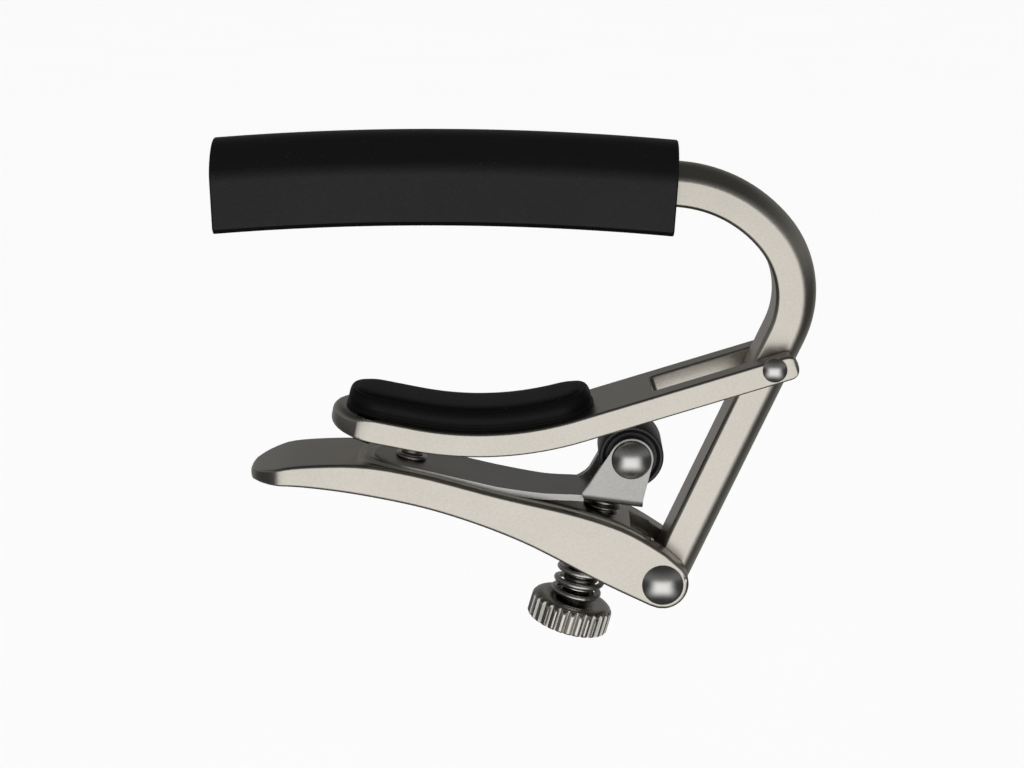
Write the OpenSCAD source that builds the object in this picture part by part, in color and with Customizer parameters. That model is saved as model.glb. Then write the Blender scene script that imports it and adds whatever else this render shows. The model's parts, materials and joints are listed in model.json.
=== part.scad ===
// Guitar capo. A bent bar crosses the strings, a padded arm presses behind the
// neck, and an over-centre lever closes the arm with a roller that a thumbscrew sets.
//
// Frame: x along the sleeve towards the bend, y across the capo, z up. The origin
// is the crown of the sleeve's underside, at the middle of its depth.
// Outlines are drawn in the x-z plane and given their depth along y.

/* [Bar and sleeve] */
// Depth of the bent bar across its flat sides
bar_w = 6.35; // [6:0.05:6.4]
// Thickness of the bar from its flat inner face to its crown
bar_t = 5.35; // [5.1:0.05:5.6]
// Radius of the sleeve's underside, which follows the fretboard
fret_r = 330; // [300:5:360]
// Length of the bar's arch that the sleeve covers
sleeve_l = 56.2; // [54:0.2:60]
// Depth of the sleeve
sleeve_w = 12; // [11:0.1:13]
// Height of the sleeve
sleeve_h = 11.1; // [10.6:0.1:12]

/* [Neck arm] */
// Depth of the arm
arm_w = 12.7; // [12.2:0.1:13.2]
// Thickness of the arm
arm_t = 3.1; // [2.8:0.1:3.2]
// Radius of the arm's underside below the pad
cradle_r = 44.8; // [44:0.2:46]
// Slope of the arm's straight part
arm_slope = 17.5; // [17:0.1:18]
// Depth of the pad
pad_w = 10.3; // [9:0.1:11]
// Thickness of the pad
pad_t = 2.8; // [1.5:0.1:3]

/* [Lever] */
// Depth of the lever
lever_w = 12.7; // [12.2:0.1:13.2]
// Radius of the lever's end around its rivet
lever_end_r = 3.35; // [3.2:0.05:3.6]
// Depth of the recess that takes the spring leaf
recess_d = 1.75; // [1.6:0.05:2]

/* [Roller and screw] */
// Radius of the roller
roller_r = 4.15; // [3.8:0.05:4.2]
// Radius of the adjusting screw over its thread
screw_r = 2.41; // [2:0.01:2.5]
// Radius of the knob
knob_r = 5.4; // [5:0.1:6]
// Number of grooves cut round the knob
knob_teeth = 28; // [20:1:32]
// Radius of the spring's coils over the wire
spring_r = 3.3; // [3.2:0.05:3.4]
// Turns of the spring
spring_turns = 4; // [3:0.5:5]

/* [Hidden] */
$fn = 72;
through = 40;          // length of a cut that goes right through
running = 0.05;        // radial clearance of a pin that turns in its hole
NICKEL = [0.72, 0.70, 0.66];
STEEL = [0.80, 0.79, 0.77];
RUBBER = [0.06, 0.06, 0.065];
ACETAL = [0.10, 0.10, 0.11];

// A point at a distance and a clockwise angle from straight up
function polar_up(r, a) = [r * sin(a), r * cos(a)];
// A point at a distance along a line that rises at an angle
function along(l, a) = [l * cos(a), l * sin(a)];
// A smooth curve through points, with steps points to each gap
function spline_point(a, b, c, d, t) =
    0.5 * (2 * b + (c - a) * t + (2 * a - 5 * b + 4 * c - d) * t * t
    + (3 * b - a - 3 * c + d) * t * t * t);
function spline(p, steps = 6) = [
    for (i = [0:len(p) - 2], j = [0:steps - 1])
        spline_point(p[max(i - 1, 0)], p[i], p[i + 1], p[min(i + 2, len(p) - 1)], j / steps),
    p[len(p) - 1]
];
function shifted(points, by) = [for (p = points) p + by];
function reversed(points) = [for (i = [len(points) - 1:-1:0]) points[i]];
function arc(centre, r, a0, a1, steps = 16) = [
    for (i = [0:steps]) centre + along(r, a0 + (a1 - a0) * i / steps)
];

// An x-z outline given its depth along y
module across(depth, y = 0) {
    translate([0, y, 0]) rotate([90, 0, 0]) linear_extrude(depth, center = true) children();
}
// A round bar along y through a point of the x-z plane
module pin(p, r, length, y = 0) {
    translate([p.x, y, p.y]) rotate([90, 0, 0]) cylinder(r = r, h = length, center = true);
}
// A solid with its own z axis leaned over from vertical, towards +x
module leaned(p, lean) {
    translate([p.x, 0, p.y]) rotate([0, lean, 0]) children();
}
// A low dome that stands out of a face at a depth y; side is 1 behind and -1 in front
module dome(p, r, height, y, side) {
    ball = (r * r + height * height) / (2 * height);
    translate([p.x, side * y, p.y]) rotate([-90 * side, 0, 0]) intersection() {
        translate([0, 0, height - ball]) sphere(r = ball);
        cylinder(r = r, h = height);
    }
}
// A rivet with a dome at each end, at depths y and -y; head is a dome's radius and height
module rivet(p, shank_r, head, y) {
    pin(p, shank_r, 2 * y);
    for (side = [-1, 1]) dome(p, head[0], head[1], y, side);
}

// ---- Bent bar: an arch, two bends of falling radius, and a straight leg ----
bar_side = 3.65;                      // height of the flat sides, below the crown
crown_rise = bar_t - bar_side;
crown_r = (bar_w * bar_w / 4 + crown_rise * crown_rise) / (2 * crown_rise);
bar_corner = 0.4;
sleeve_floor = 3.2;                   // rubber between the strings and the bar
arch_r = fret_r + sleeve_floor;
arch_end = 5.27;                      // where the arch turns into the bends, from vertical
bend_1_r = 14.8;
bend_1_end = 49.8;
bend_2_r = 9.8;
bend_2_end = 114.1;
arch_centre = [0, -fret_r];
bend_1_centre = arch_centre + polar_up(arch_r - bend_1_r, arch_end);
bend_2_centre = bend_1_centre + polar_up(bend_1_r - bend_2_r, bend_1_end);
sleeve_start = -4.64;                 // left end of the sleeve, from vertical
sleeve_end = sleeve_start + sleeve_l / fret_r * 180 / PI;
bar_start = sleeve_start + 0.2;       // the bar stops just inside the sleeve
leg_slope = bend_2_end - 90;          // lean of the leg from vertical
to_pivot = 35.4;                      // along the leg, from the last bend to the lever's rivet
function on_leg(down, in) = bend_2_centre + polar_up(bend_2_r + in, bend_2_end)
    + down * polar_up(1, bend_2_end + 90);
arm_pivot = on_leg(3.8, 2.4);
lever_pivot = on_leg(to_pivot, 1.7);
arm_pin_r = 1.1;
arm_dome = [1.55, 0.65];              // radius and height of the arm rivet's domes
lever_pin_r = 1.15;
lever_dome = [2.65, 1.1];
bar_end_r = 3.25;

// Section of the bar: x outwards from its inner face, y across. Only the crown, the
// inner face and its corners are drawn: the flat sides are cut afterwards.
module bar_section(thicker = 0) {
    corner = bar_w / 2 - bar_corner;
    beyond = 2 * bar_t;
    intersection() {
        translate([bar_t - crown_r, 0]) circle(r = crown_r + thicker);
        translate([-thicker, 0]) polygon([[0, -corner], [0, corner],
            [beyond, corner + beyond], [beyond, -corner - beyond]]);
    }
}
// Part of a ring about a centre in the x-z plane, between two angles from vertical
module swept(centre, from, to) {
    translate([centre.x, 0, centre.y]) rotate([90, 0, 0])
        rotate([0, 0, 90 - to]) rotate_extrude(angle = to - from, $fn = 96) children();
}
join_gap = 0.1;
// A stretch of the bar that stops short of both its ends by half a gap
module bar_bend(centre, r, from, to) {
    short = join_gap / 2 / r * 180 / PI;
    swept(centre, from + short, to - short) translate([r, 0]) bar_section();
}
// A slice that bridges the gap between two stretches, a hair thicker than they are
module bar_join(centre, r, at) {
    slice = 0.3;
    hair = 0.02;
    leaned(centre + polar_up(r, at), at - 90)
        linear_extrude(slice, center = true) bar_section(hair);
}
// The leg ends in a half round about the lever's rivet
module leg() {
    length = to_pivot + bar_end_r;
    room = 10;
    difference() {
        leaned(on_leg(length, 0), leg_slope) linear_extrude(length - join_gap / 2) bar_section();
        difference() {
            leaned(on_leg(to_pivot, 0), leg_slope)
                translate([-room / 2, -room, -room]) cube([2 * room, 2 * room, room]);
            pin(lever_pivot, bar_end_r, bar_w + 1);
        }
    }
}
module fret_bar() {
    color(NICKEL) difference() {
        intersection() {
            across(bar_w) translate([-through, -2 * through]) square(4 * through);
            union() {
                bar_bend(arch_centre, arch_r, bar_start, arch_end);
                bar_join(arch_centre, arch_r, arch_end);
                bar_bend(bend_1_centre, bend_1_r, arch_end, bend_1_end);
                bar_join(bend_1_centre, bend_1_r, bend_1_end);
                bar_bend(bend_2_centre, bend_2_r, bend_1_end, bend_2_end);
                bar_join(bend_2_centre, bend_2_r, bend_2_end);
                leg();
            }
        }
        pin(arm_pivot, arm_pin_r + running, through);
        pin(lever_pivot, lever_pin_r + running, through);
    }
}

// ---- Sleeve: a rubber tube with a flat underside and a round back ----
sleeve_side = 7.5;
sleeve_rise = sleeve_h - sleeve_side;
sleeve_crown_r = (sleeve_w * sleeve_w / 4 + sleeve_rise * sleeve_rise) / (2 * sleeve_rise);
module sleeve_section() {
    half = sleeve_w / 2;
    edge = 0.6;                       // chamfer along the underside
    intersection() {
        polygon([[0, edge - half], [edge, -half], [sleeve_h, -half], [sleeve_h, half],
            [edge, half], [0, half - edge]]);
        union() {
            translate([sleeve_h - sleeve_crown_r, 0]) circle(r = sleeve_crown_r);
            translate([0, -half]) square([sleeve_side, sleeve_w]);
        }
    }
}
module fret_sleeve() {
    color(RUBBER) swept(arch_centre, sleeve_start, sleeve_end) difference() {
        translate([fret_r, 0]) sleeve_section();
        translate([arch_r, 0]) intersection() {
            bar_section();
            translate([-1, -bar_w / 2]) square([2 * bar_t, bar_w]);
        }
    }
}

// ---- Neck arm: a cradle, a flat nose on its left and a forked straight on its right ----
arm_flat = 25.5;                      // from the arm's pivot back to the cradle
arm_pin_height = 1.9;                 // height of the pivot above the arm's underside
nose_slope = -11.3;
nose_l = 9;                           // from the cradle to the centre of the nose's round end
nose_plan_r = 7.2;
arm_tail = 3.0;                       // arm beyond its pivot
arm_slot_l = 18;                      // depth of the fork that straddles the bar
fork_gap = 6.75;
cradle_centre = arm_pivot - along(arm_flat, arm_slope)
    + along(cradle_r - arm_pin_height, arm_slope + 90);
arm_top_r = cradle_r - arm_t;
nose_x = cradle_centre.x + (cradle_r - arm_t / 2) * sin(nose_slope)
    - nose_l * cos(nose_slope) - arm_t / 2;

// An edge that follows the arm at a radius about the cradle's centre: the nose's
// straight, the cradle's arc and the straight that rises to the pivot
function down_from(r, a) = cradle_centre + [r * sin(a), -r * cos(a)];
function strip_edge(r, left, right, steps = 24) = [
    down_from(r, nose_slope) - along(left, nose_slope),
    for (i = [0:steps]) down_from(r, nose_slope + (arm_slope - nose_slope) * i / steps),
    down_from(r, arm_slope) + along(right, arm_slope),
];
module strip(low_r, high_r, left, right) {
    polygon(concat(strip_edge(low_r, left, right), reversed(strip_edge(high_r, left, right))));
}
module arm_outline() {
    nose = down_from((cradle_r + arm_top_r) / 2, nose_slope) - along(nose_l, nose_slope);
    polygon(concat(
        strip_edge(cradle_r, nose_l, arm_flat + arm_tail),
        reversed(strip_edge(arm_top_r, nose_l, arm_flat + arm_tail)),
        arc(nose, arm_t / 2, 80 + nose_slope, 280 + nose_slope, 10)));
}
// Plan of a flat end: a round left edge that runs out to full depth, open to the right
module round_left(x, r) {
    translate([0, 0, -2 * through]) linear_extrude(3 * through) {
        translate([x + r, 0]) circle(r = r, $fn = 120);
        translate([x + r, -20]) square([80, 40]);
    }
}
module neck_arm() {
    slot_start = arm_pivot.x + arm_tail - arm_slot_l;
    color(NICKEL) difference() {
        intersection() {
            across(arm_w) arm_outline();
            round_left(nose_x, nose_plan_r);
        }
        translate([slot_start, -fork_gap / 2, -through]) cube([through, fork_gap, through]);
        pin(arm_pivot, arm_pin_r, through);
    }
}
module arm_rivet() {
    color(STEEL) rivet(arm_pivot, arm_pin_r, arm_dome, arm_w / 2);
}
pad_left = -11.7;
pad_right = 20.2;
pad_end_r = 4.2;                      // radius of the pad's corners, seen from above
module neck_pad() {
    past_cradle = 6;                  // how far the pad's strip runs up the straight
    left = pad_left + pad_end_r;
    right = pad_right - pad_end_r;
    side = pad_w / 2 - pad_end_r;
    color(RUBBER) intersection() {
        across(pad_w) strip(arm_top_r, arm_top_r - pad_t, nose_l, past_cradle);
        translate([0, 0, -through]) linear_extrude(through) union() {
            for (x = [left, right], y = [-side, side]) translate([x, y]) circle(r = pad_end_r);
            translate([left, -pad_w / 2]) square([right - left, pad_w]);
            translate([pad_left, -side]) square([pad_right - pad_left, 2 * side]);
        }
    }
}

// ---- Lever: a tapering handle with a recess for the leaf and a fork at its rivet ----
lever_top = spline([
    [-52.7, 14.3], [-50.4, 15], [-46.5, 15.75], [-38.6, 15.9], [-31, 14.6],
    [-21, 11.9], [-11, 9.45], [-4.5, 7.1], [0.4, 4.1],
]);
lever_under = spline([
    [-1.7, -2.89], [-8.1, 0.25], [-18.3, 5.7], [-28.5, 9.55], [-38, 11.75], [-46.3, 12.9],
    [-52, 13.05],
]);
lever_tip = arc([-52.5, 13.6], 0.65, 250, 110, 6);
lever_end_arc = arc([0, 0], lever_end_r, 42, -118);
lever_tip_r = 7;
lever_slot = -4.1;                    // left wall of the fork, from the rivet
lever_fork_gap = 6.8;
recess_w = 10.6;
recess_left = -38.4;
recess_right = -1.5;
// Spring leaf: its top surface from the tail to the front of the roller's cradle
sheet = 0.8;
leaf_top = shifted(spline([
    [-36.9, 16], [-32.5, 15.3], [-24.8, 13.5], [-20.9, 12.6], [-15.8, 11.75], [-12.9, 11.55],
    [-10.2, 11.4], [-2.6, 10.4],
]), lever_pivot);
leaf_rivet = lever_pivot + [-32.5, 15.3 - sheet / 2];
leaf_lean = 11.3;                     // lean of the leaf's rivet from vertical
leaf_seat_r = 1.8;                    // boss in the recess that the leaf rests over
leaf_seat_l = 2.4;
flex_gap = 0.25;                      // the leaf's freedom above and below at its rivet
rivet_shank_r = 1.3;
rivet_shank_l = 3.2;
rivet_head_r = 2.03;
rivet_head_h = 0.5;
leaf_hole_gap = 0.12;                 // radial clearance of the leaf round its rivet
// Screw: its tip meets the bracket's underside, and its axis leans to the left
screw_lean = 15.7;
screw_tip = lever_pivot + [-7.35, 10.0];
tip_gap = 0.1;
function on_screw(down) = screw_tip - polar_up(down, screw_lean);
spring_seat = 8.5;                    // depth of the lever's spot face, from the tip
spot_face_r = spring_r + 0.25;
knob_top = 14.5;
knob_edge = 15.6;
knob_bottom = 18;

module lever_outline() {
    translate(lever_pivot) polygon(concat(lever_top, lever_end_arc, lever_under, lever_tip));
}
// The recess: everything above a floor that lies recess_d below the lever's top
module leaf_recess() {
    end = [lever_pivot.x + recess_left + recess_w / 2, 0];
    intersection() {
        across(recess_w) polygon(concat(shifted(lever_top, lever_pivot - [0, recess_d]),
            [lever_pivot + [2, 30], lever_pivot + [-60, 30]]));
        translate([0, 0, -through - 20]) linear_extrude(2 * through) union() {
            translate(end) circle(r = recess_w / 2);
            translate([end.x, -recess_w / 2])
                square([lever_pivot.x + recess_right - end.x, recess_w]);
        }
    }
}
module lever() {
    slot_x = lever_pivot.x + lever_slot;
    color(NICKEL) difference() {
        union() {
            difference() {
                intersection() {
                    across(lever_w) lever_outline();
                    round_left(lever_pivot.x - 53.15, lever_tip_r);
                }
                leaf_recess();
            }
            leaned(leaf_rivet, leaf_lean)
                translate([0, 0, -leaf_seat_l])
                    cylinder(r = leaf_seat_r, h = leaf_seat_l - sheet / 2 - flex_gap);
        }
        translate([slot_x, -lever_fork_gap / 2, -2 * through])
            cube([through, lever_fork_gap, 2 * through]);
        pin(lever_pivot, lever_pin_r, through);
        leaned(on_screw(spring_seat), screw_lean) {
            cylinder(r = screw_r + running, h = through / 2);
            translate([0, 0, -through]) cylinder(r = spot_face_r, h = through);
        }
        leaned(leaf_rivet, leaf_lean)
            translate([0, 0, -rivet_shank_l]) cylinder(r = rivet_shank_r, h = rivet_shank_l);
    }
}
module lever_rivet() {
    color(STEEL) rivet(lever_pivot, lever_pin_r, lever_dome, lever_w / 2);
}
module bracket_rivet() {
    head = sheet / 2 + flex_gap;
    color(STEEL) leaned(leaf_rivet, leaf_lean) difference() {
        union() {
            translate([0, 0, -rivet_shank_l]) cylinder(r = rivet_shank_r, h = rivet_shank_l + head);
            translate([0, 0, head])
                cylinder(r1 = rivet_head_r, r2 = rivet_head_r - 0.3, h = rivet_head_h);
        }
        // the hollow that the rolled head leaves in its middle
        translate([0, 0, head - 0.3]) cylinder(r1 = 0.9, r2 = 1.35, h = 1);
    }
}

// ---- Roller bracket: one stamping, a leaf that ends in a U round the roller ----
roller_axis = lever_pivot + [-4.15, 16.25];
ear_r = 2.8;
ear_y = 4.6;                          // outer faces of the ears
cradle_left = -10.2;                  // the U's ends, from the lever's rivet
cradle_right = -2.6;
axle_r = 1.5;
axle_dome = [2.55, 1.15];
roller_w = 7.2;
module ear_outline() {
    base_left = lever_pivot + [cradle_left, 10.6];
    base_right = lever_pivot + [cradle_right, 9.6];
    translate(roller_axis) circle(r = ear_r);
    polygon([base_left, base_right, base_right + [0.75, 3.6], roller_axis + [ear_r, 0],
        roller_axis, roller_axis + along(ear_r, 157)]);
}
// Plan of the leaf: a round tail, straight sides, then a narrower neck before the U
module leaf_plan() {
    tail_r = 4.9;
    tail = -32.2;
    edge = [[tail, tail_r], [-21, tail_r], [-14, 4.35], [-11, 4.3], [-9.5, ear_y],
        [cradle_right, ear_y]];
    translate([lever_pivot.x, 0]) {
        translate([tail, 0]) circle(r = tail_r);
        polygon(concat([for (p = edge) [p.x, -p.y]], reversed(edge)));
    }
}
module roller_bracket() {
    color(STEEL) difference() {
        union() {
            intersection() {
                across(2 * ear_y)
                    polygon(concat(leaf_top, reversed(shifted(leaf_top, [0, -sheet]))));
                translate([0, 0, -through - 20]) linear_extrude(2 * through) leaf_plan();
            }
            for (side = [-1, 1]) across(sheet, side * (ear_y - sheet / 2)) ear_outline();
        }
        leaned(leaf_rivet, leaf_lean)
            cylinder(r = rivet_shank_r + leaf_hole_gap, h = 4 * sheet, center = true);
        pin(roller_axis, axle_r, through);
    }
}
// The roller has a shallow groove in each of its faces
module roller() {
    color(ACETAL) difference() {
        pin(roller_axis, roller_r, roller_w);
        pin(roller_axis, axle_r + running, through);
        for (side = [-1, 1]) difference() {
            pin(roller_axis, roller_r - 0.7, 0.6, side * roller_w / 2);
            pin(roller_axis, roller_r - 1.5, 2, side * roller_w / 2);
        }
    }
}
module roller_axle() {
    color(STEEL) rivet(roller_axis, axle_r, axle_dome, ear_y);
}

// ---- Adjusting screw with its knurled knob, and the spring that steadies it ----
module adjusting_screw() {
    groove_r = 0.55;
    point_h = 0.8;                    // from the tip's seat down to the screw's full radius
    color(NICKEL) leaned(on_screw(0), screw_lean) difference() {
        union() {
            translate([0, 0, -knob_edge]) cylinder(r = screw_r, h = knob_edge - tip_gap - point_h);
            translate([0, 0, -tip_gap - point_h]) cylinder(r1 = screw_r, r2 = 1, h = 0.6);
            translate([0, 0, -knob_edge])
                cylinder(r1 = knob_r, r2 = knob_r - 1.4, h = knob_edge - knob_top);
            translate([0, 0, -knob_bottom]) cylinder(r = knob_r, h = knob_bottom - knob_edge);
        }
        for (i = [0:knob_teeth - 1]) rotate([0, 0, i * 360 / knob_teeth])
            translate([knob_r + 0.2, 0, -knob_bottom - 1])
                cylinder(r = groove_r, h = knob_bottom - knob_edge + 1.5);
    }
}
wire_r = 0.38;
ring_steps = 16;
wire_sides = 8;
coil_r = spring_r - wire_r;
coil_gap = 0.02;                      // between the spring and what it stands on
spring_bottom = knob_top - wire_r - coil_gap;
spring_top = spring_seat + wire_r + coil_gap;
coil_rings = spring_turns * ring_steps;
// Height of the wire's centre at turn t: closed end coils, open ones between
function coil_height(t) = let (s = spring_turns, e = 0.75, flat = 2 * wire_r * e)
    t < e ? -spring_bottom + flat * t / e
    : t > s - e ? -spring_top - flat * (s - t) / e
    : -spring_bottom + flat + (spring_bottom - spring_top - 2 * flat) * (t - e) / (s - 2 * e);
function coil_point(i, j) =
    let (t = i / ring_steps, b = 360 * j / wire_sides)
    concat(along(coil_r + wire_r * cos(b), 360 * t - 70), coil_height(t) + wire_r * sin(b));
module screw_spring() {
    last = coil_rings * wire_sides;
    color(STEEL) leaned(on_screw(0), screw_lean) polyhedron(
        points = [for (i = [0:coil_rings], j = [0:wire_sides - 1]) coil_point(i, j)],
        faces = concat(
            [[for (j = [0:wire_sides - 1]) j]],
            [for (i = [0:coil_rings - 1], j = [0:wire_sides - 1])
                let (a = i * wire_sides, b = a + wire_sides, k = (j + 1) % wire_sides)
                [a + j, b + j, b + k, a + k]],
            [[for (j = [wire_sides - 1:-1:0]) last + j]]),
        convexity = 8);
}

fret_bar();
fret_sleeve();
neck_arm();
neck_pad();
arm_rivet();
lever();
lever_rivet();
roller_bracket();
bracket_rivet();
roller();
roller_axle();
adjusting_screw();
screw_spring();
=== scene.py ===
"""The looks of a lever-operated guitar capo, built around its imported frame.

Shapes are drawn in millimetres: x along the sleeve towards the bend, y across the
capo, z up. The origin is the crown of the sleeve's underside.
"""

import json
import math
from functools import reduce

import bmesh
import bpy
from bpy.props import FloatProperty, FloatVectorProperty, IntProperty, PointerProperty
from bpy.types import Operator, Panel, PropertyGroup
from mathutils import Matrix, Vector


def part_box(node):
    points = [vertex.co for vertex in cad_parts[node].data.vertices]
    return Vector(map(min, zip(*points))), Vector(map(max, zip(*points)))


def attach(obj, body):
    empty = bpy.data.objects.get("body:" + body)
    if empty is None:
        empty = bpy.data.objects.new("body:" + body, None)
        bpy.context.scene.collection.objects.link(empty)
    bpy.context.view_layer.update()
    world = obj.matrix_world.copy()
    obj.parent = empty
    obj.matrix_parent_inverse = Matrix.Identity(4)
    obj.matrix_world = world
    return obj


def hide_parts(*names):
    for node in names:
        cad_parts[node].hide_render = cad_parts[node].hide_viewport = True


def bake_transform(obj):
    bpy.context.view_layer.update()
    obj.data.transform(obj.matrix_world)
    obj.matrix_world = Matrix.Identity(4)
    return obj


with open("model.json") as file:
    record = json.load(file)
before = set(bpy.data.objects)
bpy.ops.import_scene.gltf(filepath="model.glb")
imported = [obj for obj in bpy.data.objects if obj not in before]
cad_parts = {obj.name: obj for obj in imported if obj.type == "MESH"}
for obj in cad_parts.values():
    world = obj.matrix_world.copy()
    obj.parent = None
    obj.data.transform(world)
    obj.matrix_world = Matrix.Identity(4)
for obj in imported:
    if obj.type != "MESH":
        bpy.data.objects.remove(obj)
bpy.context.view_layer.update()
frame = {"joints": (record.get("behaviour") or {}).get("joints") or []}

bl_info = {
    "name": "Guitar capo",
    "version": (1, 0, 0),
    "blender": (4, 5, 0),
    "location": "3D View > Sidebar > Capo",
    "description": "Builds the bar, arm, lever, roller and screw of a guitar capo",
    "category": "Add Mesh",
}

MM = 0.001
SHARP_EDGE = math.radians(40)
JOINTS = {j["name"]: j for j in frame["joints"]}


def joint_point(name):
    """Where a joint turns, in millimetres."""
    return Vector(JOINTS[name]["pos_m"]) / MM


ARM_PIVOT = joint_point("arm_swing")
LEVER_PIVOT = joint_point("lever_swing")
LEAF_RIVET = joint_point("bracket_flex")
ROLLER_AXIS = joint_point("roller_turn")
SCREW_TIP = joint_point("screw_turn")
SCREW_UP = Vector(JOINTS["screw_turn"]["axis"]).normalized()
FRONT = Vector((0, -1, 0))


# ---- Settings ------------------------------------------------------------------


def number(name, description, default, low, high, kind=FloatProperty):
    return kind(name=name, description=description, default=default, min=low, max=high)


def colour(name, description, default):
    return FloatVectorProperty(name=name, description=description, subtype="COLOR", default=default)


class CapoSizes(PropertyGroup):
    """Sizes that a user would change, in millimetres"""

    bar_softness: number("Bar edge", "Rounding of the bar's edges", 0.45, 0.1, 0.6)
    arm_softness: number("Arm edge", "Rounding of the arm's long edges", 0.3, 0.1, 0.6)
    lever_chamfer: number("Lever chamfer", "Width of the lever's upper chamfer", 0.42, 0.1, 0.8)
    sheet: number("Leaf sheet", "Thickness of the spring leaf", 0.8, 0.6, 0.8)
    knob_teeth: number("Knurl grooves", "Grooves cut round the knob", 28, 20, 32, IntProperty)
    knurl_depth: number("Knurl depth", "Depth of a groove of the knurl", 0.42, 0.2, 0.6)
    thread_pitch: number("Thread pitch", "Pitch of the screw's thread", 1.058, 0.7, 1.27)
    wire: number("Spring wire", "Radius of the spring's wire", 0.38, 0.3, 0.4)


class CapoFinish(PropertyGroup):
    """Colours and gloss that a user would change"""

    nickel: colour("Satin nickel", "Colour of the bar, arm and lever", (0.665, 0.627, 0.56))
    nickel_roughness: number("Satin", "Roughness of the satin nickel", 0.33, 0.1, 0.6)
    screw: colour("Screw nickel", "Colour of the screw and its knob", (0.66, 0.63, 0.58))
    steel: colour("Steel", "Colour of the rivets and the spring", (0.70, 0.69, 0.67))
    leaf: colour("Leaf", "Colour of the spring leaf and its cradle", (0.46, 0.45, 0.432))
    sleeve: colour("Sleeve rubber", "Colour of the sleeve", (0.0035, 0.0035, 0.0037))
    pad: colour("Pad rubber", "Colour of the pad", (0.003, 0.003, 0.0031))
    roller: colour("Roller plastic", "Colour of the roller", (0.012, 0.012, 0.014))


class CapoStudio(PropertyGroup):
    """Camera and light, in metres and degrees"""

    lens: number("Lens", "Focal length in millimetres", 82.27, 20, 300)
    distance: number("Distance", "From the lens to the capo's middle", 0.300, 0.1, 2)
    elevation: number("Elevation", "Height of the camera above the capo", 15.3, -89, 89)
    azimuth: number("Azimuth", "Turn of the camera round the capo", 0.5, -180, 180)
    floor_drop: number("Floor", "How far below the capo the floor lies", 0.36, 0.1, 1)
    sky: number("Studio light", "Strength of the soft light", 1.0, 0, 10)


# ---- Shape helpers -------------------------------------------------------------


def sine(degrees):
    return math.sin(math.radians(degrees))


def cosine(degrees):
    return math.cos(math.radians(degrees))


def arc(centre, r, start, end, steps):
    """Points along an arc, with angles in degrees from the first axis."""
    angles = [math.radians(start + (end - start) * i / steps) for i in range(steps + 1)]
    return [(centre[0] + r * math.cos(a), centre[1] + r * math.sin(a)) for a in angles]


def spline(points, steps=6):
    """A smooth curve through points, with steps points to each gap."""
    out = []
    last = len(points) - 1
    for i in range(last):
        a, b, c, d = (Vector(points[min(max(k, 0), last)]) for k in (i - 1, i, i + 1, i + 2))
        for j in range(steps):
            t = j / steps
            p = 0.5 * (2 * b + (c - a) * t + (2 * a - 5 * b + 4 * c - d) * t * t
                       + (3 * b - a - 3 * c + d) * t ** 3)
            out.append((p.x, p.y))
    return out + [tuple(points[-1])]


def height_on(line, x):
    """Height of a line of points, which run from left to right, at x."""
    if x <= line[0][0]:
        return line[0][1]
    for (x0, z0), (x1, z1) in zip(line, line[1:]):
        if x <= x1:
            return z0 if x1 - x0 < 1e-9 else z0 + (z1 - z0) * (x - x0) / (x1 - x0)
    return line[-1][1]


def flat_face(bm, points, place):
    """One face through plan points, each put in space by place(a, b)."""
    return bm.faces.new([bm.verts.new(place(a, b)) for a, b in points])


def new_verts(result):
    return [g for g in result["geom"] if isinstance(g, bmesh.types.BMVert)]


def thicken(bm, vector, faces=None):
    """Extrudes faces, or all of them, along a vector. Returns the new vertices."""
    result = bmesh.ops.extrude_face_region(bm, geom=faces or bm.faces[:])
    verts = new_verts(result)
    bmesh.ops.translate(bm, vec=vector, verts=verts)
    return verts


def cut_stations(bm, values, axis=(1, 0, 0)):
    """Cuts the whole shape across x, or another axis, so that it can bend there."""
    for value in values:
        bmesh.ops.bisect_plane(bm, geom=bm.verts[:] + bm.edges[:] + bm.faces[:], dist=1e-5,
                               plane_co=Vector(axis) * value, plane_no=axis)


def spread(start, end, count):
    return [start + (end - start) * i / count for i in range(count + 1)]


def grid(bm, columns, rows):
    """A grid with a vertex for every column and row. Gives (vertex, column, row)."""
    across, along = len(columns) - 1, len(rows) - 1
    made = bmesh.ops.create_grid(bm, x_segments=across, y_segments=along, size=1)
    return [(v, columns[round((v.co.x + 1) / 2 * across)], rows[round((v.co.y + 1) / 2 * along)])
            for v in made["verts"]]


def round_corners(bm, verts, width, segments):
    """Rounds corners of a flat face in its own plane."""
    bmesh.ops.bevel(bm, geom=verts, offset=width, offset_type="OFFSET", affect="VERTICES",
                    segments=segments, profile=0.5, material=-1)


def soften(bm, width, where, segments, angle):
    """Bevels the outer edges sharper than an angle, where both their ends pass a test."""
    bmesh.ops.recalc_face_normals(bm, faces=bm.faces)
    limit = math.radians(angle)
    edges = [e for e in bm.edges
             if len(e.link_faces) == 2 and e.calc_face_angle_signed(0) > limit
             and where(e.verts[0].co, e.verts[1].co)]
    bmesh.ops.bevel(bm, geom=edges, offset=width, offset_type="OFFSET", affect="EDGES",
                    segments=segments, profile=0.5, material=-1, clamp_overlap=True)


def weigh_edges(bm, weigh):
    """Marks the sharp outer edges with the share of the rounding that each gets."""
    weight = bm.edges.layers.float.new("bevel_weight_edge")
    bmesh.ops.recalc_face_normals(bm, faces=bm.faces)
    for e in bm.edges:
        if len(e.link_faces) == 2 and e.calc_face_angle_signed(0) > SHARP_EDGE:
            e[weight] = weigh(e.verts[0].co, e.verts[1].co)


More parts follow.
